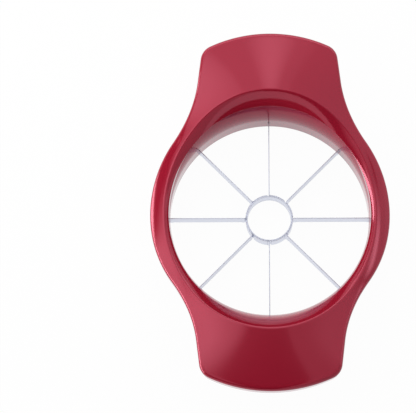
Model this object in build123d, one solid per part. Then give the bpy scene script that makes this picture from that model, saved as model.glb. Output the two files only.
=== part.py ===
from build123d import *
import math
import os

# Rigid push-down fruit corer and wedger. Sizes in millimetres.
# Frame: +Y runs along the two handles, +Z is up, and the origin is the centre
# of the blade ring's foot, which is the plane that the product stands on.

# Overall sizes
length = 177.8            # handle tip to handle tip
bore = 102.0              # clear opening for the fruit at the ring's foot
rim = 8.7                 # from the bore to the outside of the body at its narrow sides

# Plan outline of the body
flare_angle = 36.0        # degrees of the round side, each way from the X axis
grip_length = 24.1        # straight part of a handle, from its tip
grip_half = 35.7          # half width where the straight part starts
grip_taper = 7.6          # degrees, each handle side leans in towards the tip
corner_radius = 8.0
tip_radius = 72.0         # the bowed end of a handle, in plan

# Saddle-shaped top
side_height = 23.5        # top of the outer edge at the narrow sides
tip_height = 38.4         # top of the outer edge at the handle tips
rise_end = 2.9            # the edge has risen all the way this far before the tip
side_crown = 18.7         # height that the crown would have on the X axis
tip_crown = 1.0           # height of the crown across a handle
crown_end = 0.5           # the crown has faded to the handle's this far before the tip
edge_round = 2.0          # rounding of the outer top edge
crest_round = 1.4         # rounding of the inner top edge

# Inner crest of the funnel, an ellipse in plan
crest_side = 1.3          # crest outside the bore, on the X axis
crest_handle = 8.0        # crest outside the bore, on the Y axis

# Upright lip between the funnel and the blade ring
lip_side = 5.7            # its height on the X axis
lip_handle = 2.0          # and on the Y axis
lip_overhang = 0.3        # it stands inside the ring's top by this much

# Hollow underside
wall = 2.6
skirt = 13.5              # depth of the turned-down edge
socket_wall = 2.4
rib = 1.6                 # thickness of the ribs under a handle
rib_spacing = 24.0
rib_rise = 3.0            # ribs end this far above the skirt's lower edge

# Blade ring
throat_inset = 0.9        # the ring narrows by this much from its foot to its throat
throat_height = 15.0
flare_radius = 34.0       # of the arc that opens the ring above its throat
tube_wall = 2.4
collar_wall = 4.6
collar_recess = 0.4       # underside of the collar above the foot of the body's socket
foot_round = 0.5
seam_drop = 3.4           # seam between ring and body, below the outer edge's top
socket_gap = 0.15         # radial clearance between collar and socket
weld_gap = 0.05           # between the ring's top and the body's lip

# Blades and core ring
blade_count = 8
blade_thickness = 0.4
blade_height = 10.0
blade_lift = 0.5          # cutting edge above the ring's foot
edge_thickness = 0.1      # left at the ground cutting edge
grind_height = 1.4
core_diameter = 23.3
core_wall = 0.6
inner_foot_angle = 36.0   # degrees of core ring that a blade's inner foot covers
inner_bend = 1.0          # centre-line radius
outer_foot_angle = 6.0
outer_bend = 1.2
insert_gap = 0.05         # between a blade and the plastic moulded round it
notch_height = 1.0        # pocket above a blade where it enters the ring
notch_width = 1.0
notch_start = 1.0         # the pocket's cutter starts this far inside the throat
edge_lead = 1.5           # the ground edge starts this far past the inner bend
edge_stop = 0.5           # and ends this far inside the throat

# How finely the curved surfaces are worked out
top_columns = 25
top_rows = 37
top_tolerance = 0.005
edge_steps = 36
funnel_points = 48
settle_rounds = 12        # rounds in which a point on two surfaces settles

# How far cutting blocks pass what they cut
margin = 6.0              # past the body's outline, and above it
trim = 1.0                # past a face that is cut again later
shave = 0.1               # past a blade's side
base_depth = 6.0          # the funnel's lower curve, above the socket's foot

# How near an edge lies to the place where it is looked for
plan_near = 0.1
height_near = 0.3
flat_near = 0.01

# Worked out from the sizes above
bore_radius = bore / 2
side_radius = bore_radius + rim
tip_y = length / 2
grip_y = tip_y - grip_length
rise_length = tip_y - rise_end
crown_length = tip_y - crown_end
throat_radius = bore_radius - throat_inset
tube_radius = bore_radius + tube_wall
collar_radius = bore_radius + collar_wall
socket_radius = collar_radius + socket_gap
socket_outer = socket_radius + socket_wall
socket_foot = side_height - skirt
collar_foot = socket_foot + collar_recess
crest_x = bore_radius + crest_side
crest_y = bore_radius + crest_handle
tall = tip_height + tip_crown + 2 * margin     # height of the cutting blocks
core_radius = core_diameter / 2
foot_radius = core_radius + blade_thickness / 2
anchor_radius = bore_radius + tube_wall / 2
blade_top = blade_lift + blade_height


def slope(degrees):
    return math.tan(math.radians(degrees))


def half_width(y):
    """Half width of the outline: a circle, a cubic flare, then a straight taper."""
    start_y = side_radius * math.sin(math.radians(flare_angle))
    y = abs(y)
    if y < start_y:
        return math.sqrt(side_radius ** 2 - y ** 2)
    if y > grip_y:
        return grip_half - slope(grip_taper) * (y - grip_y)
    span = grip_y - start_y
    u = (y - start_y) / span
    start_x = side_radius * math.cos(math.radians(flare_angle))
    return ((2 * u ** 3 - 3 * u ** 2 + 1) * start_x
            - (u ** 3 - 2 * u ** 2 + u) * span * slope(flare_angle)
            + (3 * u ** 2 - 2 * u ** 3) * grip_half
            - (u ** 3 - u ** 2) * span * slope(grip_taper))


def rise(y):
    """Height of the outer top edge: half a cosine wave from side to handle."""
    phase = math.pi * min(abs(y), rise_length) / rise_length
    return side_height + (tip_height - side_height) * (1 - math.cos(phase)) / 2


def top(x, y):
    """Height of the saddle: the edge's height and a parabolic crown across it."""
    phase = math.pi * min(abs(y), crown_length) / crown_length
    crown = tip_crown + (side_crown - tip_crown) * (1 + math.cos(phase)) / 2
    return rise(y) + crown * (1 - (x / half_width(y)) ** 2)


def ring_inside(z):
    """Inner radius of the blade ring: a slight taper to the throat, then an arc."""
    if z < throat_height:
        return bore_radius - throat_inset * z / throat_height
    climb = z - throat_height
    return throat_radius + flare_radius - math.sqrt(flare_radius ** 2 - climb ** 2)


def seam_point(angle):
    """Radius and height of the lower edge of the body's lip at a polar angle."""
    radius = bore_radius
    for _ in range(settle_rounds):
        height = rise(radius * math.sin(angle)) - seam_drop
        radius = ring_inside(height) - lip_overhang
    return radius, height


def lip_point(angle):
    """Radius and height where the upright lip ends and the funnel starts."""
    radius, height = seam_point(angle)
    return radius, height + lip_handle + (lip_side - lip_handle) * math.cos(angle) ** 2


def crest_point(angle):
    """Radius and height of the funnel's crest at a polar angle."""
    radius = crest_x * crest_y / math.hypot(crest_y * math.cos(angle), crest_x * math.sin(angle))
    return radius, top(radius * math.cos(angle), radius * math.sin(angle))


def funnel_radius(angle, z):
    """The funnel is straight in each upright plane, from the lip to the crest."""
    low_r, low_z = lip_point(angle)
    high_r, high_z = crest_point(angle)
    return low_r + (high_r - low_r) * (z - low_z) / (high_z - low_z)


def outline(inset=0):
    """Plan outline of the body as one face, or the same outline set in by a wall."""
    lean = math.radians(grip_taper)
    radius = side_radius - inset
    start_x = radius * math.cos(math.radians(flare_angle))
    start_y = radius * math.sin(math.radians(flare_angle))
    neck_x = grip_half - inset * math.cos(lean)
    neck_y = grip_y - inset * math.sin(lean)
    third = (neck_y - start_y) / 3
    bow = tip_radius - inset
    end_y = tip_y - inset
    for _ in range(settle_rounds):
        end_x = neck_x - slope(grip_taper) * (end_y - neck_y)
        end_y = tip_y - tip_radius + math.sqrt(bow ** 2 - end_x ** 2)
    side = ThreePointArc((start_x, -start_y), (radius, 0), (start_x, start_y))
    flare = Bezier(
        (start_x, start_y),
        (start_x - slope(flare_angle) * third, start_y + third),
        (neck_x + slope(grip_taper) * third, neck_y - third),
        (neck_x, neck_y),
    )
    straight = Line((neck_x, neck_y), (end_x, end_y))
    tip = ThreePointArc((end_x, end_y), (0, tip_y - inset), (-end_x, end_y))
    upper = [flare, straight, tip, mirror(straight, Plane.YZ), mirror(flare, Plane.YZ)]
    lower = [mirror(edge, Plane.XZ) for edge in upper]
    face = make_face([side, mirror(side, Plane.YZ), *upper, *lower])
    corners = [v for v in face.vertices() if abs(abs(v.Y) - end_y) < flat_near]
    return fillet(corners, corner_radius - inset)


def below_top(drop):
    """Everything under the saddle lowered by a drop."""
    reach_x, reach_y = side_radius + margin, tip_y + margin
    across = [reach_x * (2 * i / (top_columns - 1) - 1) for i in range(top_columns)]
    along = [reach_y * (2 * j / (top_rows - 1) - 1) for j in range(top_rows)]
    grid = [[(x, y, top(x, y) - drop) for x in across] for y in along]
    saddle = Face.make_surface_from_array_of_points(grid, tol=top_tolerance)
    return extrude(saddle, -3 * tall, (0, 0, 1))


def below_edge(drop):
    """Everything under the outer edge's curve lowered by a drop, straight along X."""
    reach = tip_y + margin
    along = [reach * (2 * i / edge_steps - 1) for i in range(edge_steps + 1)]
    points = [(0, y, rise(y) - drop) for y in along]
    wave = Spline(points, tangents=[(0, 1, 0), (0, 1, 0)])
    base = Polyline(points[-1], (0, reach, -tall), (0, -reach, -tall), points[0])
    return extrude(make_face([wave, base]), side_radius + margin, (1, 0, 0), both=True)


def upright(face, low, high):
    return extrude(Pos(0, 0, low) * face, high - low)


def ring_curve(radius_at, z):
    """A closed level curve round the Z axis, as a face."""
    angles = [2 * math.pi * i / funnel_points for i in range(funnel_points)]
    points = [(radius_at(a) * math.cos(a), radius_at(a) * math.sin(a), z) for a in angles]
    return make_face(Spline(points, periodic=True))


def funnel():
    """Cutting block for the opening above the lip, ruled between two level curves."""
    levels = (socket_foot + base_depth, tall)
    return loft([ring_curve(lambda a: funnel_radius(a, z), z) for z in levels], ruled=True)


def throat():
    """Cutting block for the opening inside the upright lip."""
    return extrude(ring_curve(lambda a: seam_point(a)[0], socket_foot), tall)


def handle_ribs(pocket):
    """Two lengthwise ribs under each handle, as slabs inside the hollow."""
    slab = Box(rib, 2 * tip_y, 4 * tall)
    slabs = Pos(rib_spacing / 2, 0, 0) * slab + Pos(-rib_spacing / 2, 0, 0) * slab
    return (pocket & slabs) - below_edge(skirt - rib_rise)


def body():
    """Saddle-shaped moulding with two handles, a funnel and a socket for the ring."""
    plan = outline()
    blank = upright(plan, socket_foot, tall) & below_top(0)
    blank = fillet(top_outline_edges(blank), edge_round)
    socket = Cylinder(socket_outer, 4 * tall)
    blank -= below_edge(skirt) - socket
    pocket = upright(outline(wall), 0, tall) & below_top(wall)
    pocket -= socket
    blank = blank - pocket + handle_ribs(pocket)
    blank -= Cylinder(socket_radius, 4 * tall) & below_edge(seam_drop)
    moulding = blank - throat() - funnel()
    return fillet([e for e in moulding.edges() if on_crest(e)], crest_round)


def top_outline_edges(blank):
    """Edges between the saddle and the upright wall of the blank."""
    return [e for e in blank.edges() if e.bounding_box().min.Z > side_height - trim]


def on_crest(edge):
    """True for the edge where the funnel meets the saddle."""
    middle = edge.position_at(0.5)
    radius, height = crest_point(math.atan2(middle.Y, middle.X))
    aside = math.hypot(middle.X, middle.Y) - radius
    return abs(aside) < plan_near and abs(middle.Z - height) < height_near


def ring_profile():
    """Half section of the blade ring, with its arc made of the flare's own circle."""
    high = rise(collar_radius) - seam_drop + trim
    middle = (throat_height + high) / 2
    inner = [
        Line((throat_radius, 0, throat_height), (bore_radius, 0, 0)),
        Line((bore_radius, 0, 0), (tube_radius, 0, 0)),
        Line((tube_radius, 0, 0), (tube_radius, 0, collar_foot)),
        Line((tube_radius, 0, collar_foot), (collar_radius, 0, collar_foot)),
        Line((collar_radius, 0, collar_foot), (collar_radius, 0, high)),
        Line((collar_radius, 0, high), (ring_inside(high), 0, high)),
        ThreePointArc(
            (ring_inside(high), 0, high),
            (ring_inside(middle), 0, middle),
            (throat_radius, 0, throat_height),
        ),
    ]
    return make_face(inner)


def sector(radius, centre, start, end, half_thickness):
    """Bent strip in plan: a band of even thickness about an arc, angles in degrees."""
    def at(r, a):
        return (centre[0] + r * math.cos(math.radians(a)), centre[1] + r * math.sin(math.radians(a)))
    inner, outer = radius - half_thickness, radius + half_thickness
    middle = (start + end) / 2
    return make_face([
        ThreePointArc(at(outer, start), at(outer, middle), at(outer, end)),
        Line(at(outer, end), at(inner, end)),
        ThreePointArc(at(inner, end), at(inner, middle), at(inner, start)),
        Line(at(inner, start), at(outer, start)),
    ])


def blade_plan(grow):
    """Plan of one blade along +X: inner foot, bend, straight, bend and outer foot."""
    half = blade_thickness / 2 + grow
    inner_x = math.sqrt(foot_radius ** 2 + 2 * foot_radius * inner_bend)
    inner_turn = math.degrees(math.atan2(inner_bend, inner_x))
    outer_x = math.sqrt(anchor_radius ** 2 - 2 * anchor_radius * outer_bend)
    outer_turn = math.degrees(math.atan2(outer_bend, outer_x))
    extra = math.degrees(grow / anchor_radius)
    straight = Pos((inner_x + outer_x) / 2, 0) * Rectangle(outer_x - inner_x, 2 * half)
    return (
        straight
        + sector(inner_bend, (inner_x, -inner_bend), 90, 180 - inner_turn, half)
        + sector(foot_radius, (0, 0), -inner_turn, -inner_turn - inner_foot_angle, half)
        + sector(outer_bend, (outer_x, -outer_bend), 90, -outer_turn, half)
        + sector(anchor_radius, (0, 0), -outer_turn, -outer_turn - outer_foot_angle - extra, half)
    )


def blade():
    """One blade along +X, with its lower edge ground to a wedge between the feet."""
    strip = upright(blade_plan(0), blade_lift, blade_top)
    half, tip = blade_thickness / 2, edge_thickness / 2
    start = core_radius + inner_bend + edge_lead
    grind_top = blade_lift + grind_height
    section = Polyline(
        (tip, blade_lift), (half + shave, blade_lift), (half + shave, grind_top), (half, grind_top),
        close=True,
    )
    wedge = extrude(Plane.YZ.offset(start) * make_face(section), throat_radius - edge_stop - start)
    return strip - wedge - mirror(wedge, Plane.XZ)


def blade_cavity():
    """Space that a blade's outer end takes in the ring, and the pocket above it."""
    grown = upright(blade_plan(insert_gap), blade_lift - insert_gap, blade_top + insert_gap)
    outer_half = Pos(collar_radius, 0, 0) * Box(bore_radius, 4 * tall, 4 * tall)
    notch_depth = anchor_radius - throat_radius
    notch_x = throat_radius - notch_start + notch_depth / 2
    notch = Pos(notch_x, 0, blade_top + notch_height / 2) * Box(notch_depth, notch_width, notch_height)
    return grown & outer_half, notch


def blade_ring():
    """Insert-moulded ring that holds the outer ends of the blades."""
    ring = revolve(ring_profile(), Axis.Z, 360)
    foot_edges = [e for e in ring.edges() if abs(e.center().Z) < flat_near]
    ring = fillet(foot_edges, foot_round)
    ring &= below_edge(seam_drop + weld_gap)
    cavity, notch = blade_cavity()
    for i in range(blade_count):
        turn = Rot(0, 0, 360 * i / blade_count)
        ring = ring - turn * cavity - turn * notch
    return ring


def core_ring():
    """Thin tube that cuts out the core, ground to an edge inside at its foot."""
    tube = Cylinder(core_radius, blade_height) - Cylinder(core_radius - core_wall, 2 * blade_height)
    tube = Pos(0, 0, blade_lift + blade_height / 2) * tube
    lead = core_wall - edge_thickness
    cone = Cone(core_radius - core_wall + lead, core_radius - core_wall, grind_height)
    return tube - Pos(0, 0, blade_lift + grind_height / 2) * cone


def main():
    os.makedirs("parts", exist_ok=True)
    nodes = {"body": body(), "blade_ring": blade_ring(), "core_ring": core_ring()}
    strip = blade()
    for i in range(blade_count):
        angle = 360 * i / blade_count
        nodes[f"blade_{round(angle):03d}"] = Rot(0, 0, angle) * strip
    for name, shape in nodes.items():
        export_step(shape, f"parts/{name}.step")


main()
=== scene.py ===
import math

import bmesh
import bpy
import numpy as np
from mathutils import Euler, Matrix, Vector


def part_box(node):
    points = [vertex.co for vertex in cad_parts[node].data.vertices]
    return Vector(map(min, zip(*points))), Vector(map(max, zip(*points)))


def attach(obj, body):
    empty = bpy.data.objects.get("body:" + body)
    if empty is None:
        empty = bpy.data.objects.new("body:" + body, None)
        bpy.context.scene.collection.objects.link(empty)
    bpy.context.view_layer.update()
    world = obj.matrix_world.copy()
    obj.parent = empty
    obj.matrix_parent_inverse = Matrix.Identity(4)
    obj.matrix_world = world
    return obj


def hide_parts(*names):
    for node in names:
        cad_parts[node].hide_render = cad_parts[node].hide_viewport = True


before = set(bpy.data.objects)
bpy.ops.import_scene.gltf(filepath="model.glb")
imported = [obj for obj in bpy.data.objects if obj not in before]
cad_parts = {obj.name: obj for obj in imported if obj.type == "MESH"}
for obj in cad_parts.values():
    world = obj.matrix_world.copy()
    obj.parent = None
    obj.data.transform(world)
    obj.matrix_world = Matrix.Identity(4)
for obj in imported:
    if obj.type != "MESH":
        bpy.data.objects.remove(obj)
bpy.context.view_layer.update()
body_low, body_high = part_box("body")
core_low, core_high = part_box("core_ring")

bl_info = {
    "name": "Fruit Corer and Wedger",
    "version": (1, 0, 0),
    "blender": (4, 5, 0),
    "location": "View3D > Sidebar > Wedger",
    "description": "Builds a two-handled fruit corer and wedger and its studio",
    "category": "Object",
}

MM = 0.001
BLADE_ANGLES = range(0, 360, 45)

# Clearances and small details of the pieces
SOCKET_GAP = 0.15 * MM  # between the ring's collar and its socket
COLLAR_RECESS = 0.4 * MM  # underside of the collar above the foot of the socket
WELD_GAP = 0.05 * MM  # between the ring's top and the body's lip
LEAN_FULL = 0.7  # sine of the polar angle from which the lip leans all the way
HOLLOW_FADE = 1.0 * MM  # a hollow this wide has its full depth
RIB_ROOT = 0.6 * MM  # a rib runs this far into the walls
POCKET_HALF = 0.5 * MM  # half the width of the pocket above a blade
POCKET_EDGE = 0.04 * MM  # width of the pocket's slanted sides
POCKET_HEIGHT = 1.0 * MM
EDGE_THICKNESS = 0.1 * MM  # left at a ground edge
INNER_FOOT = math.radians(36.0)  # part of the core ring that a blade's inner foot covers
OUTER_FOOT = math.radians(6.0)  # part of the blade ring that its outer foot covers
INNER_BEND = 1.0 * MM  # centre-line radius beside the inner foot
OUTER_BEND = 1.2 * MM  # and beside the outer one
GRIND_LEAD = 1.5 * MM  # the ground edge starts this far past the inner bend
GRIND_STOP = 0.5 * MM  # and ends this far inside the throat
GRIND_FADE = 0.3 * MM  # it comes to its full depth over this distance

# Rounding of the smaller edges
LIP_ROUND = 0.3 * MM
SKIRT_ROUND = 0.4 * MM
ROOF_ROUND = 0.8 * MM
SOCKET_ROUND = 0.3 * MM
RIB_ROUND = 0.3 * MM
RING_FOOT_ROUND = 0.5 * MM
RING_TOP_ROUND = 0.12 * MM
COLLAR_ROUND = 0.3 * MM
COLLAR_FILLET = 0.2 * MM
TUBE_ROUND = 0.12 * MM
STRIP_ROUND = 0.1 * MM

# How finely the surfaces are worked out
SIDE_STEPS = 56
FLARE_STEPS = 48
GRIP_STEPS = 18
CORNER_STEPS = 30
TIP_STEPS = 28
LIP_ROWS = 2
FUNNEL_ROWS = 8
SADDLE_ROWS = 22
EDGE_STEPS = 10
WALL_ROWS = 3
ROOF_ROWS = 5
RIB_STEPS = 24
ARC_STEPS = 6
TUBE_STEPS = 256
RING_STEP = 0.5  # degrees
RING_LEVELS = [2.5 * MM, 5 * MM, 8 * MM, 13 * MM]
FLARE_ROWS = 8
RUN_STEPS = 30
INNER_FOOT_STEPS = 24
INNER_BEND_STEPS = 12
OUTER_BEND_STEPS = 14
OUTER_FOOT_STEPS = 8
SETTLE_ROUNDS = 12
CREST_BEFORE = 1.1 * MM  # the funnel's last row stands this far before the crest
CREST_BEHIND = 2.4 * MM  # and the saddle's first row this far behind it
MOST_BEFORE = 0.6  # but never more than this share of the funnel
MOST_BEHIND = 0.4  # or of the saddle
SHARED_ROOM = 0.45  # share of a leg that an arc may take where both its ends are rounded
OWN_ROOM = 0.8  # and where the other end is sharp
GUARD_REACH = 1.3  # the row beside an arc stands at this many times its reach
GUARD_ROOM = 1.08  # but at no more than this many times its room
SHARP_ANGLE = 50.0  # edges sharper than this, in degrees, aren't shaded smooth
STRIP_SHARP_ANGLE = 25.0  # and on a blade
SAME_SPOT = 0.001 * MM  # points of a path nearer than this are one
MERGE = 0.0005 * MM  # and vertices nearer than this are merged

# Finishes: patterns in waves per metre, tones as shares of the colour. A pearl share is metallic.
BODY_PEARL, RING_PEARL = 0.175, 0.10
BODY_IOR, RING_IOR = 1.6, 1.5
PINK = (1.0, 0.70, 0.88, 1.0)
CLOUD_WAVES = 45.0
SPECK_WAVES = 900.0
RIPPLE_WAVES = 130.0
RUB_WAVES = (90.0, 1400.0, 300.0)
RUB_STOPS = [(0.62, 0.0), (0.78, 1.0)]
PLASTIC_TONES = (0.96, 1.04)
RIPPLE_DEPTH = 0.006 * MM
STEEL_WAVES = 160.0
TUBE_GRAIN = (60, 60, 3500)
STRIP_GRAIN = (60, 3500, 1)
STEEL_TONES = (0.95, 1.05)
# Painted shade on the steel: the share of its colour left at the foot and top edge, and how wide that
# darkened band is
EDGE_SHADE_TONE = 0.6
EDGE_SHADE_BAND = 0.8 * MM
GRAIN_DEPTH = 0.0006 * MM
UV_COORDINATES = 2
OBJECT_COORDINATES = 3

# Floor, lamp and camera
FLOOR_HALF = 3.0
FLOOR_DROP = 0.02 * MM
FLOOR_GREY = 0.8
LAMP_PLACE = (-0.95, -0.15, 0.17)
LAMP_SIZE = (1.0, 0.28)
CAMERA_PLACE = Vector((-6.87, -129.33, 660.42)) * MM
CAMERA_TURN = [math.radians(a) for a in (11.779, 2.091, 0.239)]
CAMERA_LENS = 112.87
CAMERA_CLIP = (0.01, 20.0)
SENSOR_WIDTH = 36.0

# The screen's fields, in metres across it or along it. A pair is where a fade begins and where
# it is complete. A front or a share says how much of its light a field keeps there.
SCREEN_HEIGHT = 0.4
SCREEN_HALF = 1.2
LEFT_EDGE = (-0.045, -0.112)
LEFT_RISE = (-0.070, 0.060)
LEFT_FRONT = 0.42
LEFT_START = (-0.500, -0.120)
FLANK_EDGE = (-0.350, -0.550)
FLANK_START = (-0.350, -0.150)
BACK_START = (-0.110, 0.100)
BACK_EDGE = (0.150, 0.060)
BACK_EDGE_LEFT = (0.080, 0.240)
BACK_SHARE = 0.52
SPOT_PLACE = (0.008, 0.225, SCREEN_HEIGHT)
SPOT_REACH = 0.085
RIGHT_EDGE = (0.055, 0.065)
RIGHT_RISE = (-0.040, 0.040)
RIGHT_FRONT = 0.64
PANEL_PLACE = (0.690, 0.070, SCREEN_HEIGHT)
PANEL_REACH = 0.200
REAR_EDGE = (0.330, 0.400)
REAR_HALF = (0.750, 0.600)
FAR_START = (-0.520, -0.620)
FAR_EDGE = (0.090, 0.200)
DARK_PLACE = (0.715, 0.225, SCREEN_HEIGHT)
DARK_REACH = 0.110


# --------------------------------------------------
# Sizes, finishes and studio that a user would change
# --------------------------------------------------

def distance(name, description, millimetres):
    """A length property in metres, given in millimetres."""
    return bpy.props.FloatProperty(
        name=name, description=description, default=millimetres * MM, min=0.0,
        subtype="DISTANCE", unit="LENGTH", precision=4,
    )


def slant(name, description, degrees):
    """An angle property, given in degrees."""
    return bpy.props.FloatProperty(
        name=name, description=description, default=math.radians(degrees),
        subtype="ANGLE", unit="ROTATION",
    )


def share(name, description, value, top=1.0):
    """A plain number property."""
    return bpy.props.FloatProperty(name=name, description=description, default=value, min=0.0, max=top)


def paint(name, description, colour):
    """A linear colour property."""
    return bpy.props.FloatVectorProperty(
        name=name, description=description, default=colour, min=0.0, max=1.0, size=3, subtype="COLOR",
    )


class WedgerSizes(bpy.types.PropertyGroup):
    """Sizes of the wedger: those of its CAD pieces, and how its finished surface leans and bows."""

    length: distance("Length", "Handle tip to handle tip", (body_high.y - body_low.y) / MM)
    bore: distance("Bore", "Clear opening for the fruit at the foot of the blade ring", 102.0)
    rim: distance("Rim", "From the bore to the outside at the narrow sides", 8.7)
    flare_angle: slant("Flare angle", "Round part of the plan, each way from the side", 36.0)
    grip_length: distance("Grip length", "Straight part of a handle, from its tip", 24.1)
    grip_half: distance("Grip half width", "Half the width where the straight part starts", 35.7)
    grip_taper: slant("Grip taper", "Lean of a handle's sides towards its tip", 7.6)
    corner_radius: distance("Corner radius", "Corners of a handle in plan", 8.0)
    tip_radius: distance("Tip radius", "Bowed end of a handle in plan", 72.0)
    side_height: distance("Side height", "Top of the outer edge at the narrow sides", 23.5)
    tip_height: distance("Tip height", "Top of the outer edge at the handle tips", 38.4)
    rise_end: distance("Rise end", "The edge has risen all the way this far before the tip", 2.9)
    side_crown: distance("Side crown", "Height of the crown on the short axis", 18.7)
    tip_crown: distance("Tip crown", "Height of the crown across a handle", 1.0)
    crown_end: distance("Crown end", "The crown has faded this far before the tip", 0.5)
    edge_round: distance("Edge rounding", "Rounding of the outer top edge", 2.0)
    crest_round: distance("Crest rounding", "Rounding of the funnel's crest", 1.4)
    crest_side: distance("Crest at side", "Crest outside the bore on the short axis", 1.3)
    crest_handle: distance("Crest at handle", "Crest outside the bore on the long axis", 8.0)
    lip_side: distance("Lip at side", "Upright lip under the funnel on the short axis", 5.7)
    lip_handle: distance("Lip at handle", "Upright lip under the funnel on the long axis", 2.0)
    lip_overhang: distance("Lip overhang", "The lip stands inside the ring's top by this much", 0.3)
    lip_lean: distance("Lip lean", "The lip's edge leans in by this much at the far handle", 0.75)
    funnel_bow: distance("Funnel bow", "The widest funnel bulges by this much halfway up", 0.38)
    flank_bow: distance("Flank bow", "The narrow sides' flanks bulge by this much halfway out", 0.15)
    wall: distance("Wall", "Thickness of the moulding", 2.6)
    skirt: distance("Skirt", "Depth of the turned-down edge", 13.5)
    rib: distance("Rib", "Thickness of the ribs under a handle", 1.6)
    rib_spacing: distance("Rib spacing", "Between the middles of a handle's ribs", 24.0)
    rib_rise: distance("Rib rise", "The ribs end this far above the skirt's lower edge", 3.0)
    tube_wall: distance("Ring wall", "Thickness of the blade ring at its foot", 2.4)
    collar_wall: distance("Collar wall", "Thickness of the blade ring's collar", 4.6)
    socket_wall: distance("Socket wall", "Thickness of the body's socket", 2.4)
    throat_height: distance("Throat height", "Narrowest place of the blade ring", 15.0)
    throat_inset: distance("Throat inset", "The ring narrows by this much to its throat", 0.9)
    flare_radius: distance("Flare radius", "Arc that opens the ring above its throat", 34.0)
    seam_drop: distance("Seam drop", "Seam below the outer edge's top", 3.4)
    core_diameter: distance("Core diameter", "Outside of the core ring", (core_high.x - core_low.x) / MM)
    core_wall: distance("Core wall", "Thickness of the core ring", 0.6)
    blade_height: distance("Blade height", "Height of blades and core ring", (core_high.z - core_low.z) / MM)
    blade_lift: distance("Blade lift", "Cutting edge above the ring's foot", core_low.z / MM)
    blade_thickness: distance("Blade thickness", "Thickness of a blade", 0.4)
    grind_height: distance("Grind height", "Height of the ground edge", 1.4)


class WedgerFinish(bpy.types.PropertyGroup):
    """Colours and roughness."""

    body_red: paint("Body red", "Moulded plastic of the body", (0.34, 0.0105, 0.029))
    ring_red: paint("Ring red", "Moulded plastic of the blade ring", (0.385, 0.010, 0.038))
    steel: paint("Steel", "Stainless strip and tube", (0.66, 0.69, 0.80))
    gloss: share("Gloss roughness", "Roughness of the glossy plastic", 0.09)
    satin: share("Steel roughness", "Roughness of the rolled steel", 0.30)


class WedgerStudio(bpy.types.PropertyGroup):
    """Floor, screen, lamp and room."""

    floor_white: share("Floor white", "How much of the floor shows as plain white", 0.97)
    left_level: share("Left level", "Light from the left half of the overhead screen", 2.1, 10.0)
    right_level: share("Right level", "Light from the right half of the overhead screen", 0.86, 10.0)
    back_level: share("Back level", "Light from the bright spot behind the gap", 2.1, 10.0)
    panel_level: share("Panel level", "Light from the panel far out on the right", 3.2, 10.0)
    rear_level: share("Rear level", "Light from the far field behind", 2.2, 10.0)
    side_level: share("Side level", "Light from the lamp low on the left", 7.0, 20.0)
    room_level: share("Room level", "Light from the room on all sides", 0.25, 10.0)


# --------------------------------------------------
# Curves of the object
# --------------------------------------------------

def rays(turn):
    """Unit vectors in plan at polar angles."""
    return np.stack([np.cos(turn), np.sin(turn)], 1)


def swell(y, reach):
    """Half a cosine wave that climbs from 0 at y = 0 to 1 at y = reach, and stays there."""
    return (1 - np.cos(np.pi * np.minimum(np.abs(y), reach) / reach)) / 2


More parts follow.
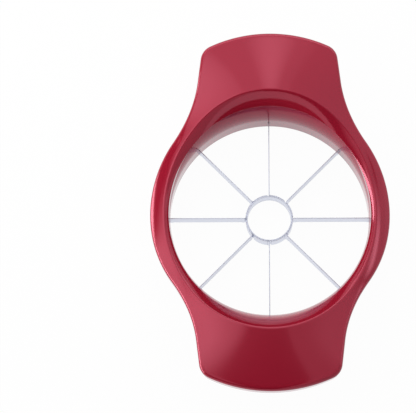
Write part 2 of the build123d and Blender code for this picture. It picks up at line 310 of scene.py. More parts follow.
class Form:
    """The curves that the pieces share, worked out from the sizes, in metres."""

    def __init__(self, size):
        self.size = size
        self.bore_radius = size.bore / 2
        self.side_radius = self.bore_radius + size.rim
        self.tip_y = size.length / 2
        self.grip_y = self.tip_y - size.grip_length
        self.rise_length = self.tip_y - size.rise_end
        self.crown_length = self.tip_y - size.crown_end
        self.throat_radius = self.bore_radius - size.throat_inset
        self.tube_radius = self.bore_radius + size.tube_wall
        self.collar_radius = self.bore_radius + size.collar_wall
        self.socket_radius = self.collar_radius + SOCKET_GAP
        self.socket_outer = self.socket_radius + size.socket_wall
        self.socket_foot = size.side_height - size.skirt
        self.collar_foot = self.socket_foot + COLLAR_RECESS
        self.crest_x = self.bore_radius + size.crest_side
        self.crest_y = self.bore_radius + size.crest_handle
        self.core_radius = size.core_diameter / 2
        self.anchor_radius = self.bore_radius + size.tube_wall / 2
        self.blade_top = size.blade_lift + size.blade_height

    def flare_start(self):
        """Where the round side ends in plan."""
        angle = self.size.flare_angle
        return self.side_radius * math.cos(angle), self.side_radius * math.sin(angle)

    def half_width(self, y):
        """Half width in plan: a circle, a cubic between two points and slopes, then a straight taper."""
        start_x, start_y = self.flare_start()
        span = self.grip_y - start_y
        y = np.abs(y)
        u = (y - start_y) / span
        circle = np.sqrt(np.maximum(self.side_radius ** 2 - y ** 2, 0))
        flare = (
            (2 * u ** 3 - 3 * u ** 2 + 1) * start_x
            - (u ** 3 - 2 * u ** 2 + u) * span * math.tan(self.size.flare_angle)
            + (3 * u ** 2 - 2 * u ** 3) * self.size.grip_half
            - (u ** 3 - u ** 2) * span * math.tan(self.size.grip_taper)
        )
        taper = self.size.grip_half - math.tan(self.size.grip_taper) * (y - self.grip_y)
        return np.where(y < start_y, circle, np.where(y > self.grip_y, taper, flare))

    def rise(self, y):
        """Height of the outer top edge: half a cosine wave from the side to the handle."""
        size = self.size
        return size.side_height + (size.tip_height - size.side_height) * swell(y, self.rise_length)

    def top(self, x, y):
        """Height of the saddle: the edge's height and a parabolic crown that fades along the handles."""
        size = self.size
        crown = size.side_crown + (size.tip_crown - size.side_crown) * swell(y, self.crown_length)
        return self.rise(y) + crown * (1 - (x / self.half_width(y)) ** 2)

    def ring_inside(self, z):
        """Inner radius of the blade ring: a slight taper to the throat, then an arc outwards."""
        size = self.size
        climb = np.clip(z - size.throat_height, 0, size.flare_radius)
        taper = self.bore_radius - size.throat_inset * np.minimum(z, size.throat_height) / size.throat_height
        return taper + size.flare_radius - np.sqrt(size.flare_radius ** 2 - climb ** 2)

    def seam(self, angle, overhang, gap):
        """Radius and height where the ring's inside meets the seam, found by repeated substitution."""
        radius = np.full_like(angle, self.bore_radius)
        for _ in range(SETTLE_ROUNDS):
            height = self.rise(radius * np.sin(angle)) - self.size.seam_drop - gap
            radius = self.ring_inside(height) - overhang
        return radius, height

    def lip_height(self, angle):
        """Height of the upright lip: it goes from the side's to the handle's with the angle's
        squared cosine."""
        size = self.size
        return size.lip_handle + (size.lip_side - size.lip_handle) * np.cos(angle) ** 2

    def crest(self, angle):
        """Radius and height of the funnel's crest: an ellipse in plan, lifted to the saddle."""
        radius = self.crest_x * self.crest_y / np.hypot(
            self.crest_y * np.cos(angle), self.crest_x * np.sin(angle)
        )
        return radius, self.top(radius * np.cos(angle), radius * np.sin(angle))

    def quarter(self):
        """Plan points and outward normals from the side to the tip: side arc, cubic flare,
        straight taper, corner arc and tip arc, each with its own number of steps."""
        size = self.size
        lean = size.grip_taper
        start_x, start_y = self.flare_start()
        side = rays(np.linspace(0, size.flare_angle, SIDE_STEPS, endpoint=False))

        y = np.linspace(start_y, self.grip_y, FLARE_STEPS, endpoint=False)
        step = 0.01 * MM
        bend = (self.half_width(y + step) - self.half_width(y)) / step
        bend[0] = -math.tan(size.flare_angle)
        flare = np.stack([self.half_width(y), y], 1)
        flare_normal = np.stack([np.ones_like(bend), -bend], 1) / np.hypot(1, bend)[:, None]

        neck = np.array([size.grip_half, self.grip_y])
        along = np.array([-math.sin(lean), math.cos(lean)])
        outward = np.array([math.cos(lean), math.sin(lean)])
        hub = np.array([0, self.tip_y - size.tip_radius])
        base = neck - size.corner_radius * outward - hub
        reach = size.tip_radius - size.corner_radius
        dot = base @ along
        run = -dot + math.sqrt(dot ** 2 - base @ base + reach ** 2)
        straight = neck + np.linspace(0, run, GRIP_STEPS, endpoint=False)[:, None] * along
        centre = hub + base + run * along
        tip_angle = math.atan2(*(centre - hub)[::-1])
        corner = rays(np.linspace(lean, tip_angle, CORNER_STEPS, endpoint=False))
        tip = rays(np.linspace(tip_angle, math.pi / 2, TIP_STEPS, endpoint=False))

        points = np.concatenate([
            side * self.side_radius, flare, straight,
            centre + corner * size.corner_radius, hub + tip * size.tip_radius,
        ])
        normals = np.concatenate([
            side, flare_normal, np.tile(outward, (GRIP_STEPS, 1)), corner, tip,
        ])
        return points, normals

    def outline(self):
        """Plan points and normals all the way round, mirrored from one quarter."""
        points, normals = self.quarter()
        crown = np.array([[0, self.tip_y]]), np.array([[0, 1.0]])
        side = points[:1], normals[:1]
        rounds = []
        for part, end, start in zip((points, normals), crown, side):
            back = part[:0:-1] * (-1, 1)
            upper = np.concatenate([part, end, back])
            rounds.append(np.concatenate([upper, start * (-1, 1), upper[:0:-1] * (1, -1)]))
        return rounds


# --------------------------------------------------
# Meshes from rows of points
# --------------------------------------------------

def place(x, y, z):
    """Points from three coordinates that may be arrays or one number."""
    return np.stack(np.broadcast_arrays(x, y, z), -1).astype(float)


def polar(radius, angle, z):
    """Points from a distance off the Z axis, a polar angle and a height."""
    return place(radius * np.cos(angle), radius * np.sin(angle), z)


def between(start, end, steps):
    """Rows of points evenly between two rows, without the two themselves."""
    share_along = np.linspace(0, 1, steps + 2)[1:-1, None, None]
    return list(start + (end - start) * share_along)


def arc_rows(first, corner, last, steps):
    """Rows on the arc that touches both legs of a corner: with t from 0 to 1 and w the cosine of
    half the turn, ((1-t)^2 first + 2t(1-t) w corner + t^2 last) over the same sum of weights."""
    before, after = corner - first, last - corner
    lengths = np.linalg.norm(before, axis=-1) * np.linalg.norm(after, axis=-1)
    cosine = np.sum(before * after, -1) / np.maximum(lengths, 1e-15)
    weight = np.sqrt(np.clip((1 + cosine) / 2, 0, 1))[:, None]
    t = np.linspace(0, 1, steps + 1)[:, None, None]
    near, middle, far = (1 - t) ** 2, 2 * t * (1 - t) * weight, t ** 2
    return list((near * first + middle * corner + far * last) / (near + middle + far))


def unrounded(rows):
    """Section entries of rows that have no rounding."""
    return [(row, 0) for row in rows]


def carry(section):
    """Rows of a closed section. Each entry is a row of points and its rounding radius: a sharp
    entry is kept, and a rounded one becomes an arc with one more row just before it and just after
    it, so that the flats beside it stay flat. The arc reaches along each leg by the radius times the
    tangent of half the turn, but by no more than a set share of the leg."""
    rows = []
    for i, (corner, radius) in enumerate(section):
        if not radius:
            rows.append(corner)
            continue
        beside = [section[i - 1], section[(i + 1) % len(section)]]
        legs = [row - corner for row, _ in beside]
        lengths = [np.linalg.norm(leg, axis=-1)[:, None] for leg in legs]
        shares = [SHARED_ROOM if rounded else OWN_ROOM for _, rounded in beside]
        room = np.minimum(lengths[0] * shares[0], lengths[1] * shares[1])
        units = [leg / np.maximum(length, 1e-12) for leg, length in zip(legs, lengths)]
        cosine = np.clip(-np.sum(units[0] * units[1], -1), -1, 1)
        reach = np.minimum(radius * np.tan(np.arccos(cosine) / 2)[:, None], room)
        ends = [corner + unit * reach for unit in units]
        guard = np.minimum(GUARD_REACH * reach, GUARD_ROOM * room)
        rows.append(corner + units[0] * guard)
        rows += arc_rows(ends[0], corner, ends[1], ARC_STEPS)
        rows.append(corner + units[1] * guard)
    return np.array(rows)


def face_corners(rows, columns, loop_rows=True):
    """Corner numbers of the four-sided faces between neighbouring rows and columns."""
    r = np.arange(rows if loop_rows else rows - 1)[:, None]
    c = np.arange(columns)[None, :]
    r_next, c_next = (r + 1) % rows, (c + 1) % columns
    corners = [r * columns + c, r * columns + c_next, r_next * columns + c_next, r_next * columns + c]
    return np.stack(corners, -1).reshape(-1, 4)


def shell(points, loop_rows=True):
    """Vertices and faces of a grid of points. Open rows are closed by a flat cap at each end."""
    rows, columns = points.shape[:2]
    faces = face_corners(rows, columns, loop_rows).tolist()
    if not loop_rows:
        last = (rows - 1) * columns
        faces += [list(range(columns)), list(range(last, last + columns))]
    return points.reshape(-1, 3), faces


def add_object(name, data):
    """An object with this data, in the scene."""
    made = bpy.data.objects.new(name, data)
    bpy.context.scene.collection.objects.link(made)
    return made


def make_piece(name, shells, sharp=SHARP_ANGLE):
    """One object from closed shells: doubles merged, normals turned outwards and shaded smooth,
    except along edges sharper than the given degrees."""
    mesh = bpy.data.meshes.new(name)
    offsets = np.cumsum([0] + [len(points) for points, _ in shells])
    points = np.concatenate([points for points, _ in shells])
    faces = [[n + int(start) for n in face] for (_, part), start in zip(shells, offsets) for face in part]
    mesh.from_pydata(points.tolist(), [], faces)
    bm = bmesh.new()
    bm.from_mesh(mesh)
    bmesh.ops.remove_doubles(bm, verts=bm.verts, dist=MERGE)
    bmesh.ops.recalc_face_normals(bm, faces=bm.faces)
    bm.to_mesh(mesh)
    bm.free()
    mesh.shade_smooth()
    mesh.set_sharp_from_angle(angle=math.radians(sharp))
    return add_object(name, mesh)


def unroll(piece, rows, run):
    """A UV map in metres: the length run along the blade, and the height. Each vertex takes the run
    of the row point that it was made from, found as the nearest one."""
    mesh = piece.data
    spots = np.empty(len(mesh.vertices) * 3)
    mesh.vertices.foreach_get("co", spots)
    spots = spots.reshape(-1, 3)
    middles = rows.mean(axis=1)[:, :2]
    gaps = np.linalg.norm(spots[:, None, :2] - middles[None], axis=2)
    uv = np.stack([run[gaps.argmin(axis=1)], spots[:, 2]], 1)
    corner_vertex = np.empty(len(mesh.loops), dtype=np.int32)
    mesh.loops.foreach_get("vertex_index", corner_vertex)
    layer = mesh.uv_layers.new(name="run")
    layer.data.foreach_set("uv", uv[corner_vertex].ravel())


# --------------------------------------------------
# Shapes of the pieces
# --------------------------------------------------

def funnel_section(form, angle):
    """The body's section from the seam to the crest: an upright lip and the funnel. The lip's edge
    leans in over the ring by the lean times the squared sine of the polar angle over LEAN_FULL,
    held between 0 and 1, so only at the far side. The funnel is a straight line from the lip to
    the crest, and a parabola 4t(1-t) square to it, whose height goes with the line's length."""
    size = form.size
    seam_r, seam_z = form.seam(angle, size.lip_overhang, 0)
    crest_r, crest_z = form.crest(angle)
    lip_z = seam_z + form.lip_height(angle)
    edge_r = seam_r - size.lip_lean * np.clip(np.sin(angle) / LEAN_FULL, 0, 1) ** 2
    seam = polar(seam_r, angle, seam_z)
    edge = polar(edge_r, angle, lip_z)
    crest = polar(crest_r, angle, crest_z)
    climb, reach = crest_z - lip_z, crest_r - edge_r
    run = np.hypot(climb, reach)
    bulge = polar(-climb / run, angle, reach / run)
    bow = size.funnel_bow * (run / run.max())[:, None]
    last = 1 - np.minimum(CREST_BEFORE / run, MOST_BEFORE)[:, None]
    funnel = []
    for t in np.linspace(0, 1, FUNNEL_ROWS + 1)[1:, None, None] * last:
        funnel.append(edge + (crest - edge) * t + bulge * bow * 4 * t * (1 - t))
    lip = unrounded([seam] + between(seam, edge, LIP_ROWS)) + [(edge, LIP_ROUND)]
    return lip + unrounded(funnel) + [(crest, size.crest_round)]


def saddle_section(form, plan, normal, crest):
    """The body's section from behind the crest to the foot of the skirt: the saddle, the rounded
    edge and the outer wall. The narrow sides' flanks bulge over the saddle by a parabola 4t(1-t)
    that fades towards the handles in half a cosine wave. The rounded edge touches the saddle's
    slope there and the upright wall, so its legs are the radius times the tangent of half its turn."""
    size = form.size
    step = 0.02 * MM
    inside = plan - normal * step
    fall = (form.top(*plan.T) - form.top(*inside.T)) / step
    turn = math.pi / 2 + np.arctan(fall)
    leg = size.edge_round * np.tan(turn / 2)
    plan_leg = (leg * np.cos(np.arctan(fall)))[:, None]
    shoulder_plan = plan - normal * plan_leg
    shoulder = place(*shoulder_plan.T, form.top(*shoulder_plan.T))
    peak = place(*plan.T, shoulder[:, 2] + fall * plan_leg[:, 0])
    wall_top = peak - place(0, 0, leg)

    across = shoulder_plan - crest[:, :2]
    first = np.minimum(CREST_BEHIND / np.linalg.norm(across, axis=1), MOST_BEHIND)
    flank = size.flank_bow * (1 - swell(plan[:, 1], form.grip_y))
    rows = []
    for t in np.linspace(0, 1, SADDLE_ROWS, endpoint=False):
        along = first + (1 - first) * t
        spot = crest[:, :2] + across * along[:, None]
        rows.append(place(*spot.T, form.top(*spot.T) + flank * 4 * along * (1 - along)))
    rows += arc_rows(shoulder, peak, wall_top, EDGE_STEPS)
    foot = place(*plan.T, form.rise(plan[:, 1]) - size.skirt)
    rows += between(wall_top, foot, WALL_ROWS)
    return unrounded(rows) + [(foot, SKIRT_ROUND)]


def hollow_section(form, plan, normal):
    """The body's section from the skirt's inner edge to the seam: the hollow, whose roof lies one
    wall under the saddle, and the socket. Where the body is too narrow for a hollow its rows fall
    together, and the depth eases in with o = width over HOLLOW_FADE as 3o^2 - 2o^3."""
    size = form.size
    inner = plan - normal * size.wall
    inner_r = np.hypot(*inner.T)
    ray = inner / inner_r[:, None]
    width = np.maximum(inner_r - form.socket_outer, 0)
    opening = np.clip(width / HOLLOW_FADE, 0, 1)
    opening = opening * opening * (3 - 2 * opening)

    def foot_and_roof(spot):
        foot = form.rise(spot[:, 1]) - size.skirt
        roof = foot + (form.top(*spot.T) - size.wall - foot) * opening
        return place(*spot.T, foot), place(*spot.T, roof)

    socket, lip = ray * form.socket_outer, ray * form.socket_radius
    hollow_foot, outer_roof = foot_and_roof((ray.T * (form.socket_outer + width)).T)
    inner_roof = foot_and_roof(socket)[1]
    section = [(hollow_foot, SKIRT_ROUND), (outer_roof, ROOF_ROUND)]
    section += unrounded(between(outer_roof, inner_roof, ROOF_ROWS))
    section += [(inner_roof, ROOF_ROUND), (place(*socket.T, form.socket_foot), SOCKET_ROUND)]
    section += [(place(*lip.T, form.socket_foot), SOCKET_ROUND)]
    return section + [(place(*lip.T, form.rise(lip[:, 1]) - size.seam_drop), 0)]


def body_rows(form):
    """The body's section carried round its outline: funnel, saddle, outer wall, hollow and socket."""
    plan, normal = form.outline()
    funnel = funnel_section(form, np.arctan2(plan[:, 1], plan[:, 0]))
    crest = funnel[-1][0]
    return carry(funnel + saddle_section(form, plan, normal, crest) + hollow_section(form, plan, normal))


def rib_shell(form, side, end):
    """One rib: an upright slab along Y whose lower edge follows the skirt's and whose top and
    ends run into the walls."""
    size = form.size
    x = side * size.rib_spacing / 2
    low_y = math.sqrt(form.socket_outer ** 2 - x ** 2) - RIB_ROOT
    bowed = size.tip_radius - math.sqrt(size.tip_radius ** 2 - x ** 2)
    high_y = form.tip_y - size.wall - bowed + RIB_ROOT
    y = np.linspace(low_y, high_y, RIB_STEPS)
    half = size.rib / 2
    low = form.rise(y) - size.skirt + size.rib_rise
    high = form.top(np.full_like(y, x), y) - size.wall + RIB_ROOT
    corners = [
        (x - half, high, 0), (x - half, low, RIB_ROUND), (x + half, low, RIB_ROUND), (x + half, high, 0),
    ]
    rows = carry([(place(cx, end * y, z), radius) for cx, z, radius in corners])
    return shell(rows.transpose(1, 0, 2), loop_rows=False)


def ring_columns(form):
    """Polar angles for the ring: even steps, and closer pairs at the sides of each blade pocket.
    Also gives how far each lies from the middle of its blade."""
    sector_half = 180 / len(BLADE_ANGLES)
    regular = np.arange(-sector_half, sector_half, RING_STEP)
    edge = np.degrees(np.array([POCKET_HALF, POCKET_HALF + POCKET_EDGE]) / form.bore_radius)
    sector = np.unique(np.concatenate([regular, edge, -edge]))
    angles = np.concatenate([sector + middle for middle in BLADE_ANGLES])
    across = np.tile(np.radians(sector) * form.bore_radius, len(BLADE_ANGLES))
    return np.radians(angles), across


def ring_rows(form):
    """The blade ring's section carried round the Z axis. Its top follows the outer edge's wave,
    and a small pocket stands above each blade where it enters the wall."""
    size = form.size
    angle, across = ring_columns(form)
    seam_r, seam_z = form.seam(angle, 0, WELD_GAP)
    collar_top = form.rise(form.collar_radius * np.sin(angle)) - size.seam_drop - WELD_GAP
    in_pocket = np.abs(across) < POCKET_HALF + POCKET_EDGE / 2
    low, high = form.blade_top, form.blade_top + POCKET_HEIGHT
    rows = [(polar(form.bore_radius, angle, 0), RING_FOOT_ROUND)]
    for z in sorted([*RING_LEVELS, low - POCKET_EDGE, low, high, high + POCKET_EDGE, size.throat_height]):
        radius = form.ring_inside(np.full_like(angle, z))
        if low <= z <= high:
            radius = np.where(in_pocket, form.anchor_radius, radius)
        rows.append((polar(radius, angle, z), 0))
    for t in np.linspace(0, 1, FLARE_ROWS + 2)[1:-1]:
        z = size.throat_height + (seam_z - size.throat_height) * t
        rows.append((polar(form.ring_inside(z), angle, z), 0))
    rows += [
        (polar(seam_r, angle, seam_z), RING_TOP_ROUND),
        (polar(form.collar_radius, angle, collar_top), RING_TOP_ROUND),
        (polar(form.collar_radius, angle, form.collar_foot), COLLAR_ROUND),
        (polar(form.tube_radius, angle, form.collar_foot), COLLAR_FILLET),
        (polar(form.tube_radius, angle, 0), RING_FOOT_ROUND),
    ]
    return carry(rows)


def core_rows(form):
    """The core ring: a thin tube, ground to an edge inside at its foot, top edges broken."""
    size = form.size
    angle = np.linspace(0, 2 * math.pi, TUBE_STEPS, endpoint=False)
    outer, inner = form.core_radius, form.core_radius - size.core_wall
    low, high = size.blade_lift, form.blade_top
    middle = (low + high) / 2
    corners = [
        (outer, low, 0), (outer, middle, 0), (outer, high, TUBE_ROUND), (inner, high, TUBE_ROUND),
        (inner, middle, 0), (inner, low + size.grind_height, 0), (outer - EDGE_THICKNESS, low, 0),
    ]
    return carry([(polar(radius, angle, z), rounding) for radius, z, rounding in corners])


def plan_arc(centre, radius, start, end, steps):
    """Points and normals on an arc in plan."""
    ray = rays(np.linspace(start, end, steps))
    return np.array(centre) + radius * ray, ray


def blade_path(form):
    """Centre line of a blade along +X in plan, with normals: an arc against the core ring, a bend,
    a straight run, a bend and an arc in the blade ring's wall. Also where the ground edge starts
    and ends."""
    foot = form.core_radius + form.size.blade_thickness / 2
    anchor = form.anchor_radius
    inner_x = math.sqrt(foot ** 2 + 2 * foot * INNER_BEND)
    inner_turn = math.atan2(INNER_BEND, inner_x)
    outer_x = math.sqrt(anchor ** 2 - 2 * anchor * OUTER_BEND)
    outer_turn = math.atan2(OUTER_BEND, outer_x)

    start = form.core_radius + INNER_BEND + GRIND_LEAD
    stop = form.throat_radius - GRIND_STOP
    marks = np.array([start - GRIND_FADE, start, stop, stop + GRIND_FADE])
    even = np.linspace(inner_x, outer_x, RUN_STEPS)[1:-1]
    run = np.unique(np.concatenate([even, marks[marks < outer_x]]))
    inner_hub, outer_hub = (inner_x, -INNER_BEND), (outer_x, -OUTER_BEND)
    upright = math.pi / 2
    inner_bend = plan_arc(inner_hub, INNER_BEND, math.pi - inner_turn, upright, INNER_BEND_STEPS)
    parts = [
        plan_arc((0, 0), foot, -inner_turn - INNER_FOOT, -inner_turn, INNER_FOOT_STEPS),
        inner_bend,
        (np.stack([run, np.zeros_like(run)], 1), np.tile([0.0, 1.0], (len(run), 1))),
        plan_arc(outer_hub, OUTER_BEND, upright, -outer_turn, OUTER_BEND_STEPS),
        plan_arc((0, 0), anchor, -outer_turn, -outer_turn - OUTER_FOOT, OUTER_FOOT_STEPS),
    ]
    points = np.concatenate([part[0] for part in parts])
    normals = np.concatenate([part[1] for part in parts])
    distinct = np.append(True, np.linalg.norm(np.diff(points, axis=0), axis=1) > SAME_SPOT)
    return points[distinct], normals[distinct], (start, stop)


def blade_rows(form):
    """A blade's section carried along its path: a thin strip with its top edges broken and its
    lower edge ground to a wedge between the two bends. Also gives the length run at each point."""
    size = form.size
    points, normals, (start, stop) = blade_path(form)
    half = size.blade_thickness / 2
    low, high = size.blade_lift, form.blade_top
    straight = np.abs(points[:, 1]) < SAME_SPOT
    ground = np.clip(np.minimum(points[:, 0] - start, stop - points[:, 0]) / GRIND_FADE + 1, 0, 1) * straight
    edge = half + (EDGE_THICKNESS / 2 - half) * ground
    shoulder = low + size.grind_height
    middle = (shoulder + high) / 2

    def at(offset, z):
        spot = points + normals * np.broadcast_to(offset, len(points))[:, None]
        return place(*spot.T, z)

    corners = [
        (edge, low, 0), (half, shoulder, 0), (half, middle, 0), (half, high, STRIP_ROUND),
        (-half, high, STRIP_ROUND), (-half, middle, 0), (-half, shoulder, 0), (-edge, low, 0),
    ]
    rows = carry([(at(offset, z), rounding) for offset, z, rounding in corners])
    run = np.append(0, np.cumsum(np.linalg.norm(np.diff(points, axis=0), axis=1)))
    return rows.transpose(1, 0, 2), run


# --------------------------------------------------
# Materials
# --------------------------------------------------

class Value:
    """A number socket. Arithmetic on it adds the Math nodes that work it out."""

    def __init__(self, tree, socket):
        self.tree = tree
        self.socket = socket

    def math(self, operation, first, second=0.0):
        return self.tree.node("ShaderNodeMath", {"operation": operation}, {0: first, 1: second})

    def __add__(self, other):
        return self.math("ADD", self, other)

    def __radd__(self, other):
        return self.math("ADD", other, self)

    def __sub__(self, other):
        return self.math("SUBTRACT", self, other)

    def __rsub__(self, other):
        return self.math("SUBTRACT", other, self)

    def __mul__(self, other):
        return self.math("MULTIPLY", self, other)

    def __rmul__(self, other):
        return self.math("MULTIPLY", other, self)

    def __abs__(self):
        return self.math("ABSOLUTE", self)

    def largest(self, other):
        return self.math("MAXIMUM", self, other)


class Tree:
    """A node tree that is emptied and built up by one method."""

    def __init__(self, owner):
        owner.use_nodes = True
        self.nodes = owner.node_tree.nodes
        self.links = owner.node_tree.links
        self.nodes.clear()

    def node(self, kind, settings=None, inputs=None, output=0):
        """Adds a node: its settings first, then values or links for its inputs by name or place."""
        made = self.nodes.new(kind)
        for name, value in (settings or {}).items():
            if name == "stops":
                self.set_stops(made.color_ramp, value)
            else:
                setattr(made, name, value)
        for name, value in (inputs or {}).items():
            if isinstance(value, Value):
                self.links.new(value.socket, made.inputs[name])
            else:
                made.inputs[name].default_value = value
        return Value(self, made.outputs[output]) if len(made.outputs) else None

    @staticmethod
    def set_stops(ramp, stops):
        """Sets a ramp's stops: each a place and a grey level."""
        while len(ramp.elements) < len(stops):
            ramp.elements.new(1.0)
        for element, (position, level) in zip(ramp.elements, stops):
            element.position = position
            element.color = (level, level, level, 1)

    def noise(self, vector, scale, detail=2.0, roughness=0.5):
        """Noise from 0 to 1 at a number of waves per metre."""
        inputs = {"Vector": vector, "Scale": scale, "Detail": detail, "Roughness": roughness}
        return self.node("ShaderNodeTexNoise", {}, inputs)

    def ramp(self, factor, stops):
        """A grey ramp."""
        return self.node("ShaderNodeValToRGB", {"stops": stops}, {0: factor})

    def fade(self, value, start, end, kind="SMOOTHSTEP"):
        """0 at start and 1 at end, eased at both unless its kind is linear."""
        inputs = {0: value, 1: start, 2: end, 3: 0.0, 4: 1.0}
        return self.node("ShaderNodeMapRange", {"interpolation_type": kind}, inputs)

    def mix(self, factor, first, second):
        """A colour mix."""
        return self.node(
            "ShaderNodeMix", {"data_type": "RGBA"}, {0: factor, 6: first, 7: second}, output=2
        )

    def stretched(self, vector, scale):
        """A vector with each axis scaled by its own amount."""
        return self.node("ShaderNodeMapping", {}, {"Vector": vector, "Scale": scale})

    def bump(self, height, depth):
        """A normal from a height from 0 to 1 and the depth in metres that it stands for."""
        return self.node("ShaderNodeBump", {}, {"Height": height, "Distance": depth, "Strength": 1.0})


def new_material(name):
    """A material and its empty tree."""
    material = bpy.data.materials.new(name)
    return material, Tree(material)


def rgba(colour, level):
    """A colour with alpha, made lighter or darker."""
    return (*(min(1.0, c * level) for c in colour), 1.0)


def glossy_plastic(name, colour, gloss, pearl, index):
    """Injection-moulded plastic: an even colour with a faint cloudiness, a gloss that varies a
    little, a slow ripple as from a cooled mould and a few fine rubbing marks. Its pearl share is
    metallic and its clear gloss is tinted pink, so that its reflections are partly red."""
    material, tree = new_material(name)
    where = tree.node("ShaderNodeTexCoord", output=OBJECT_COORDINATES)
    cloud = tree.noise(where, CLOUD_WAVES, 3.0)
    speck = tree.noise(where, SPECK_WAVES, 2.0)
    ripple = tree.noise(where, RIPPLE_WAVES, 1.0)
    rubbed = tree.noise(tree.stretched(where, RUB_WAVES), 1.0, 4.0, 0.6)
    marks = tree.ramp(rubbed, RUB_STOPS)
    plastic = tree.node("ShaderNodeBsdfPrincipled", {}, {
        "Base Color": tree.mix(cloud, *(rgba(colour, tone) for tone in PLASTIC_TONES)),
        "Roughness": gloss * (0.8 + 0.35 * cloud) + 0.03 * marks,
        "Metallic": pearl, "IOR": index, "Specular Tint": PINK,
        "Normal": tree.bump(ripple + 0.12 * speck + 0.05 * marks, RIPPLE_DEPTH),
    })
    tree.node("ShaderNodeOutputMaterial", {}, {"Surface": plastic})
    return material


def rolled_steel(name, finish, form, coordinates, grain, axis):
    """Stainless strip: fine rolling lines along its run, a soft cloudiness, and painted shade that darkens
    its colour towards its foot and its top edge. The coordinates stretched by the grain give the lines, and
    the one with the axis's number is the height."""
    material, tree = new_material(name)
    where = tree.node("ShaderNodeTexCoord", output=coordinates)
    height = tree.node("ShaderNodeSeparateXYZ", {}, {0: where}, output=axis)
    lines = tree.noise(tree.stretched(where, grain), 1.0, 5.0, 0.65)
    cloud = tree.noise(where, STEEL_WAVES, 3.0)
    low, high = form.size.blade_lift, form.blade_top
    # Painted shade: the base colour darkens towards the foot and towards the top edge
    foot = tree.fade(height, low + EDGE_SHADE_BAND, low, "LINEAR")
    head = tree.fade(height, high - EDGE_SHADE_BAND / 4, high, "LINEAR")
    dark = foot.largest(head)
    tone = tree.mix(lines, *(rgba(finish.steel, tone) for tone in STEEL_TONES))
    steel = tree.node("ShaderNodeBsdfPrincipled", {}, {
        "Base Color": tree.mix(0.2 * dark, tone, rgba(finish.steel, EDGE_SHADE_TONE)),
        "Metallic": 1.0,
        "Roughness": finish.satin * (0.75 + 0.3 * lines + 0.3 * cloud) + 0.05 * dark,
        "Normal": tree.bump(lines, GRAIN_DEPTH),
    })
    tree.node("ShaderNodeOutputMaterial", {}, {"Surface": steel})
    return material


def dress(piece, material, node):
    """Gives a piece its material, hides the CAD node that it stands for, and hangs it under the root."""
    piece.data.materials.append(material)
    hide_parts(node)
    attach(piece, "root")


# --------------------------------------------------
# Studio
# --------------------------------------------------

def flat_square(name, half, height, corners):
    """A level square. The order of its corners says whether it faces up or down."""
    mesh = bpy.data.meshes.new(name)
    points = [(-half, -half, height), (half, -half, height), (half, half, height), (-half, half, height)]
    mesh.from_pydata(points, [], [corners])
    return add_object(name, mesh)


def seen(tree):
    """1 for rays from the camera and for those that metal and glass send on, else 0."""
    path = "ShaderNodeLightPath"
    camera = tree.node(path, output="Is Camera Ray")
    glossy = tree.node(path, output="Is Glossy Ray")
    passing = tree.node(path, output="Is Transmission Ray")
    return camera.largest(glossy).largest(passing)


def make_floor(studio):
    """A plain pale floor just under the foot. Seen directly it is nearly white and keeps a soft
    shadow; from below it is clear, so that the underside can be looked at."""
    floor = flat_square("floor", FLOOR_HALF, -FLOOR_DROP, (0, 1, 2, 3))
    material, tree = new_material("pale_floor")
    matt = tree.node("ShaderNodeBsdfDiffuse", {}, {"Color": (FLOOR_GREY, FLOOR_GREY, FLOOR_GREY, 1)})
    white = tree.node("ShaderNodeEmission", {}, {"Color": (1, 1, 1, 1), "Strength": 1.0})
    surface = tree.node("ShaderNodeMixShader", {}, {0: seen(tree) * studio.floor_white, 1: matt, 2: white})
    below = tree.node("ShaderNodeNewGeometry", output="Backfacing")
    clear = tree.node("ShaderNodeBsdfTransparent")
    both = tree.node("ShaderNodeMixShader", {}, {0: below, 1: surface, 2: clear})
    tree.node("ShaderNodeOutputMaterial", {}, {"Surface": both})
    floor.data.materials.append(material)
    return floor


def light_room(scene, studio):
    """An even room: white to the camera and in reflections, and a soft grey light on everything."""
    world = bpy.data.worlds.new("room")
    scene.world = world
    tree = Tree(world)
    level = seen(tree) * (1.0 - studio.room_level) + studio.room_level
    light = tree.node("ShaderNodeBackground", {}, {"Color": level, "Strength": 1.0})
    tree.node("ShaderNodeOutputWorld", {}, {"Surface": light})


def screen_level(tree, studio):
    """How bright the screen is at each place, as the brightest of its fields: one on the left that
    dims behind, and towards the front except far out, one on the right that dims a little towards
    the front, a dimmer one behind the gap with a bright spot in it, a round panel far out on the
    right, and one far behind. A corner far out on the left and a round patch far out on the right
    stay dark."""
    where = tree.node("ShaderNodeTexCoord", output=OBJECT_COORDINATES)
    across = tree.node("ShaderNodeSeparateXYZ", {}, {0: where}, output=0)
    along = tree.node("ShaderNodeSeparateXYZ", {}, {0: where}, output=1)

    def spot(middle, reach):
        measure = {"operation": "DISTANCE"}
        away = tree.node("ShaderNodeVectorMath", measure, {0: where, 1: middle}, output=1)
        return tree.fade(away, reach, 0.0)

    front = (1 - LEFT_FRONT) * tree.fade(along, *LEFT_RISE) + LEFT_FRONT * tree.fade(along, *LEFT_START)
    front = front.largest(tree.fade(across, *FLANK_EDGE) * tree.fade(along, *FLANK_START))
    behind = 1 - (1 - BACK_SHARE) * tree.fade(along, *BACK_EDGE_LEFT)
    left = tree.fade(across, *LEFT_EDGE) * front * behind
    back = BACK_SHARE * tree.fade(along, *BACK_START) * tree.fade(across, *BACK_EDGE)
    right_front = RIGHT_FRONT + (1 - RIGHT_FRONT) * tree.fade(along, *RIGHT_RISE)
    right = tree.fade(across, *RIGHT_EDGE) * right_front
    level = (left.largest(back) * studio.left_level).largest(right * studio.right_level)
    level = level.largest(spot(SPOT_PLACE, SPOT_REACH) * studio.back_level)
    level = level.largest(spot(PANEL_PLACE, PANEL_REACH) * studio.panel_level)
    level = level * (1 - tree.fade(across, *FAR_START) * tree.fade(along, *FAR_EDGE))
    level = level * (1 - spot(DARK_PLACE, DARK_REACH))
    rear = tree.fade(along, *REAR_EDGE) * tree.fade(abs(across), *REAR_HALF)
    return level.largest(rear * studio.rear_level)


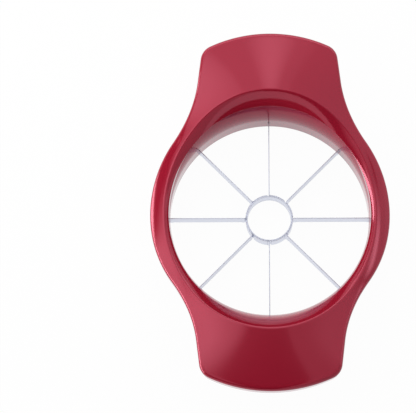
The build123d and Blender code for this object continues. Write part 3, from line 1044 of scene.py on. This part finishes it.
def hang_screen(studio):
    """A lit screen over the object, hidden from the camera."""
    screen = flat_square("screen", SCREEN_HALF, SCREEN_HEIGHT, (0, 3, 2, 1))
    screen.visible_camera = False
    screen.visible_shadow = False
    material, tree = new_material("lit_screen")
    light = tree.node("ShaderNodeEmission", {}, {"Color": screen_level(tree, studio), "Strength": 1.0})
    tree.node("ShaderNodeOutputMaterial", {}, {"Surface": light})
    screen.data.materials.append(material)
    return screen


def stand_lamp(studio):
    """A softbox low on the left. Its power is radiance times area times pi."""
    lamp = bpy.data.lights.new("side_lamp", "AREA")
    lamp.shape = "RECTANGLE"
    lamp.size, lamp.size_y = LAMP_SIZE
    lamp.energy = studio.side_level * LAMP_SIZE[0] * LAMP_SIZE[1] * math.pi
    rig = add_object("side_lamp", lamp)
    rig.location = LAMP_PLACE
    rig.rotation_euler = Vector(LAMP_PLACE).to_track_quat("Z", "Y").to_euler()


def point_camera(scene):
    """The camera, high over the near handle's side."""
    camera = bpy.data.cameras.new("camera")
    camera.lens = CAMERA_LENS
    camera.sensor_width = SENSOR_WIDTH
    camera.clip_start, camera.clip_end = CAMERA_CLIP
    rig = add_object("camera", camera)
    rig.location = CAMERA_PLACE
    rig.rotation_euler = CAMERA_TURN
    scene.camera = rig


# --------------------------------------------------
# Operators and panel
# --------------------------------------------------

def settings(context):
    """The curves and the finish that the scene's properties give."""
    return Form(context.scene.wedger_sizes), context.scene.wedger_finish


class WEDGER_OT_body(bpy.types.Operator):
    """Builds the red body with its two handles"""

    bl_idname = "wedger.body"
    bl_label = "Body"

    def execute(self, context):
        form, finish = settings(context)
        shells = [shell(body_rows(form))]
        shells += [rib_shell(form, side, end) for end in (1, -1) for side in (1, -1)]
        piece = make_piece("moulded_body", shells)
        plastic = glossy_plastic("body_plastic", finish.body_red, finish.gloss, BODY_PEARL, BODY_IOR)
        dress(piece, plastic, "body")
        return {"FINISHED"}


class WEDGER_OT_ring(bpy.types.Operator):
    """Builds the red ring that holds the blades"""

    bl_idname = "wedger.ring"
    bl_label = "Blade ring"

    def execute(self, context):
        form, finish = settings(context)
        piece = make_piece("moulded_ring", [shell(ring_rows(form))])
        plastic = glossy_plastic("ring_plastic", finish.ring_red, finish.gloss, RING_PEARL, RING_IOR)
        dress(piece, plastic, "blade_ring")
        return {"FINISHED"}


class WEDGER_OT_core(bpy.types.Operator):
    """Builds the thin steel tube that cuts out the core"""

    bl_idname = "wedger.core"
    bl_label = "Core ring"

    def execute(self, context):
        form, finish = settings(context)
        piece = make_piece("core_tube", [shell(core_rows(form))])
        steel = rolled_steel("core_steel", finish, form, OBJECT_COORDINATES, TUBE_GRAIN, axis=2)
        dress(piece, steel, "core_ring")
        return {"FINISHED"}


class WEDGER_OT_blades(bpy.types.Operator):
    """Builds the eight steel blades"""

    bl_idname = "wedger.blades"
    bl_label = "Blades"

    def execute(self, context):
        form, finish = settings(context)
        steel = rolled_steel("blade_steel", finish, form, UV_COORDINATES, STRIP_GRAIN, axis=1)
        rows, run = blade_rows(form)
        for degrees in BLADE_ANGLES:
            turned = rows @ np.array(Euler((0, 0, math.radians(degrees))).to_matrix()).T
            strip = shell(turned, loop_rows=False)
            piece = make_piece(f"blade_strip_{degrees:03d}", [strip], STRIP_SHARP_ANGLE)
            unroll(piece, turned, run)
            dress(piece, steel, f"blade_{degrees:03d}")
        return {"FINISHED"}


class WEDGER_OT_stage(bpy.types.Operator):
    """Builds the floor, the room's light, the overhead screen, the side lamp and the camera"""

    bl_idname = "wedger.stage"
    bl_label = "Studio"

    def execute(self, context):
        studio = context.scene.wedger_studio
        floor = make_floor(studio)
        light_room(context.scene, studio)
        screen = hang_screen(studio)
        stand_lamp(studio)
        point_camera(context.scene)
        context.scene.view_settings.view_transform = "Standard"
        return {"FINISHED"}


class WEDGER_PT_panel(bpy.types.Panel):
    """Lists the pieces, sizes, finishes and studio settings."""

    bl_label = "Fruit Wedger"
    bl_idname = "WEDGER_PT_panel"
    bl_space_type = "VIEW_3D"
    bl_region_type = "UI"
    bl_category = "Wedger"

    def draw(self, context):
        layout = self.layout
        for operator in OPERATORS:
            layout.operator(operator.bl_idname)
        for group in (context.scene.wedger_sizes, context.scene.wedger_finish, context.scene.wedger_studio):
            box = layout.box()
            for name in group.__annotations__:
                box.prop(group, name)


OPERATORS = (WEDGER_OT_body, WEDGER_OT_ring, WEDGER_OT_core, WEDGER_OT_blades, WEDGER_OT_stage)
GROUPS = {"wedger_sizes": WedgerSizes, "wedger_finish": WedgerFinish, "wedger_studio": WedgerStudio}


def register():
    """Adds the classes, and one set of properties of each group to the scene."""
    for group in (*GROUPS.values(), *OPERATORS, WEDGER_PT_panel):
        bpy.utils.register_class(group)
    for name, group in GROUPS.items():
        setattr(bpy.types.Scene, name, bpy.props.PointerProperty(type=group))


def unregister():
    """Takes the properties and the classes away again."""
    for name in GROUPS:
        delattr(bpy.types.Scene, name)
    for group in (WEDGER_PT_panel, *reversed(OPERATORS), *reversed(GROUPS.values())):
        bpy.utils.unregister_class(group)


def main():
    """Builds every piece and the stage."""
    register()
    bpy.ops.wedger.body()
    bpy.ops.wedger.ring()
    bpy.ops.wedger.core()
    bpy.ops.wedger.blades()
    bpy.ops.wedger.stage()


if __name__ == "__main__":
    main()
